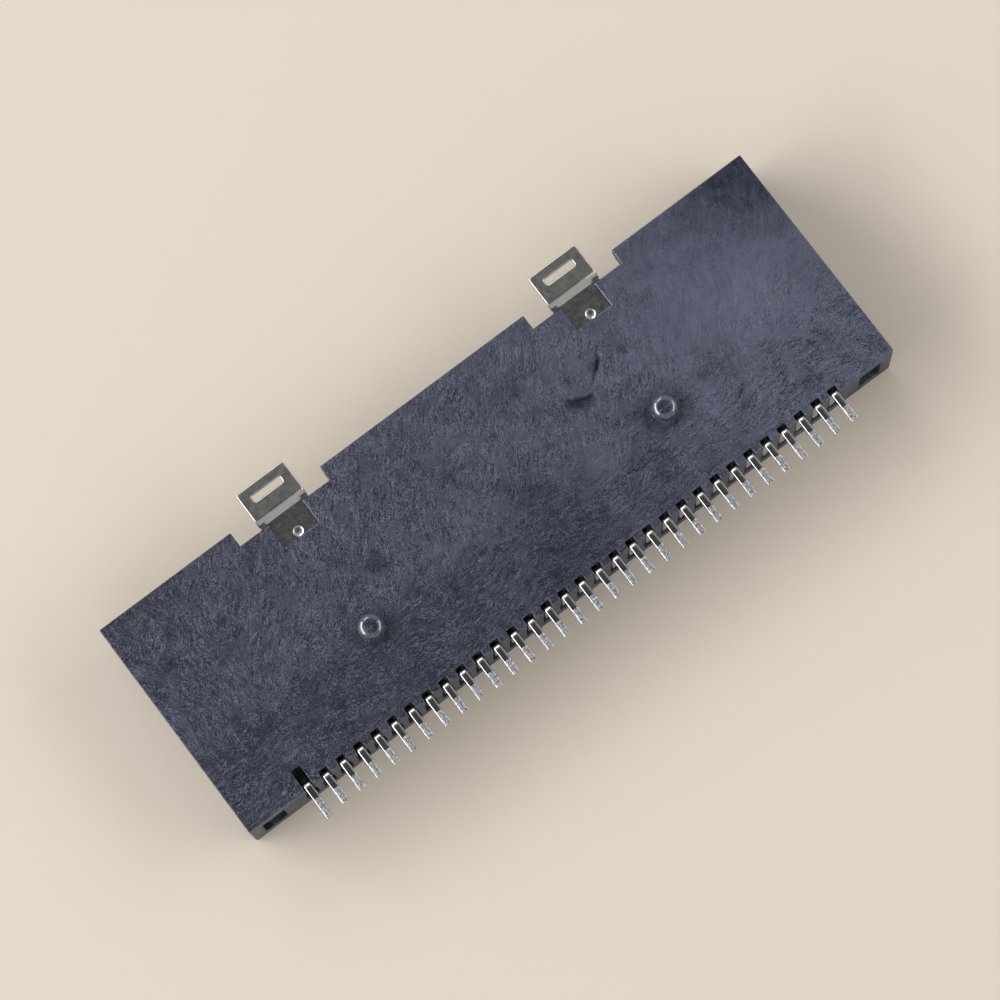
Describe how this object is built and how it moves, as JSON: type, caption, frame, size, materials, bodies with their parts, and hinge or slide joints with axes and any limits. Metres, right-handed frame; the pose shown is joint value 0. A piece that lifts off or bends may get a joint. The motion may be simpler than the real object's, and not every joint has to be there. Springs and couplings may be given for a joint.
{
  "type": "card edge connector",
  "caption": "Flat board-mounted connector for a plug-in card: moulded tray with end walls and a contact tongue, a row of bent spring contacts, locating posts and hold-down brackets.",
  "frame": {"origin": "on the board face, midway between the two locating posts", "axes": "+X along the contact row, with the first contact at the -X end; +Y out of the card mouth, so the solder tails leave at -Y; +Z out of the board face, so the part lies with its board face up and its card side down"},
  "size_m": [0.057, 0.0225, 0.007],
  "materials": {
    "housing_plastic": "semi-gloss glass-filled moulding with flow streaks",
    "bracket_metal": "bright tin plate",
    "contact_metal": "bright plate with matte tin at the solder tails"
  },
  "bodies": {
    "root": {"housing": "housing_plastic", "hold_down_left": "bracket_metal", "hold_down_right": "bracket_metal", "contact_01": "contact_metal", "contact_02": "contact_metal", "contact_03": "contact_metal", "contact_04": "contact_metal", "contact_05": "contact_metal", "contact_06": "contact_metal", "contact_07": "contact_metal", "contact_08": "contact_metal", "contact_09": "contact_metal", "contact_10": "contact_metal", "contact_11": "contact_metal", "contact_12": "contact_metal", "contact_13": "contact_metal", "contact_14": "contact_metal", "contact_15": "contact_metal", "contact_16": "contact_metal", "contact_17": "contact_metal", "contact_18": "contact_metal", "contact_19": "contact_metal", "contact_20": "contact_metal", "contact_21": "contact_metal", "contact_22": "contact_metal", "contact_23": "contact_metal", "contact_24": "contact_metal", "contact_25": "contact_metal", "contact_26": "contact_metal", "contact_27": "contact_metal", "contact_28": "contact_metal", "contact_29": "contact_metal", "contact_30": "contact_metal", "contact_31": "contact_metal", "contact_32": "contact_metal"}
  },
  "joints": []
}
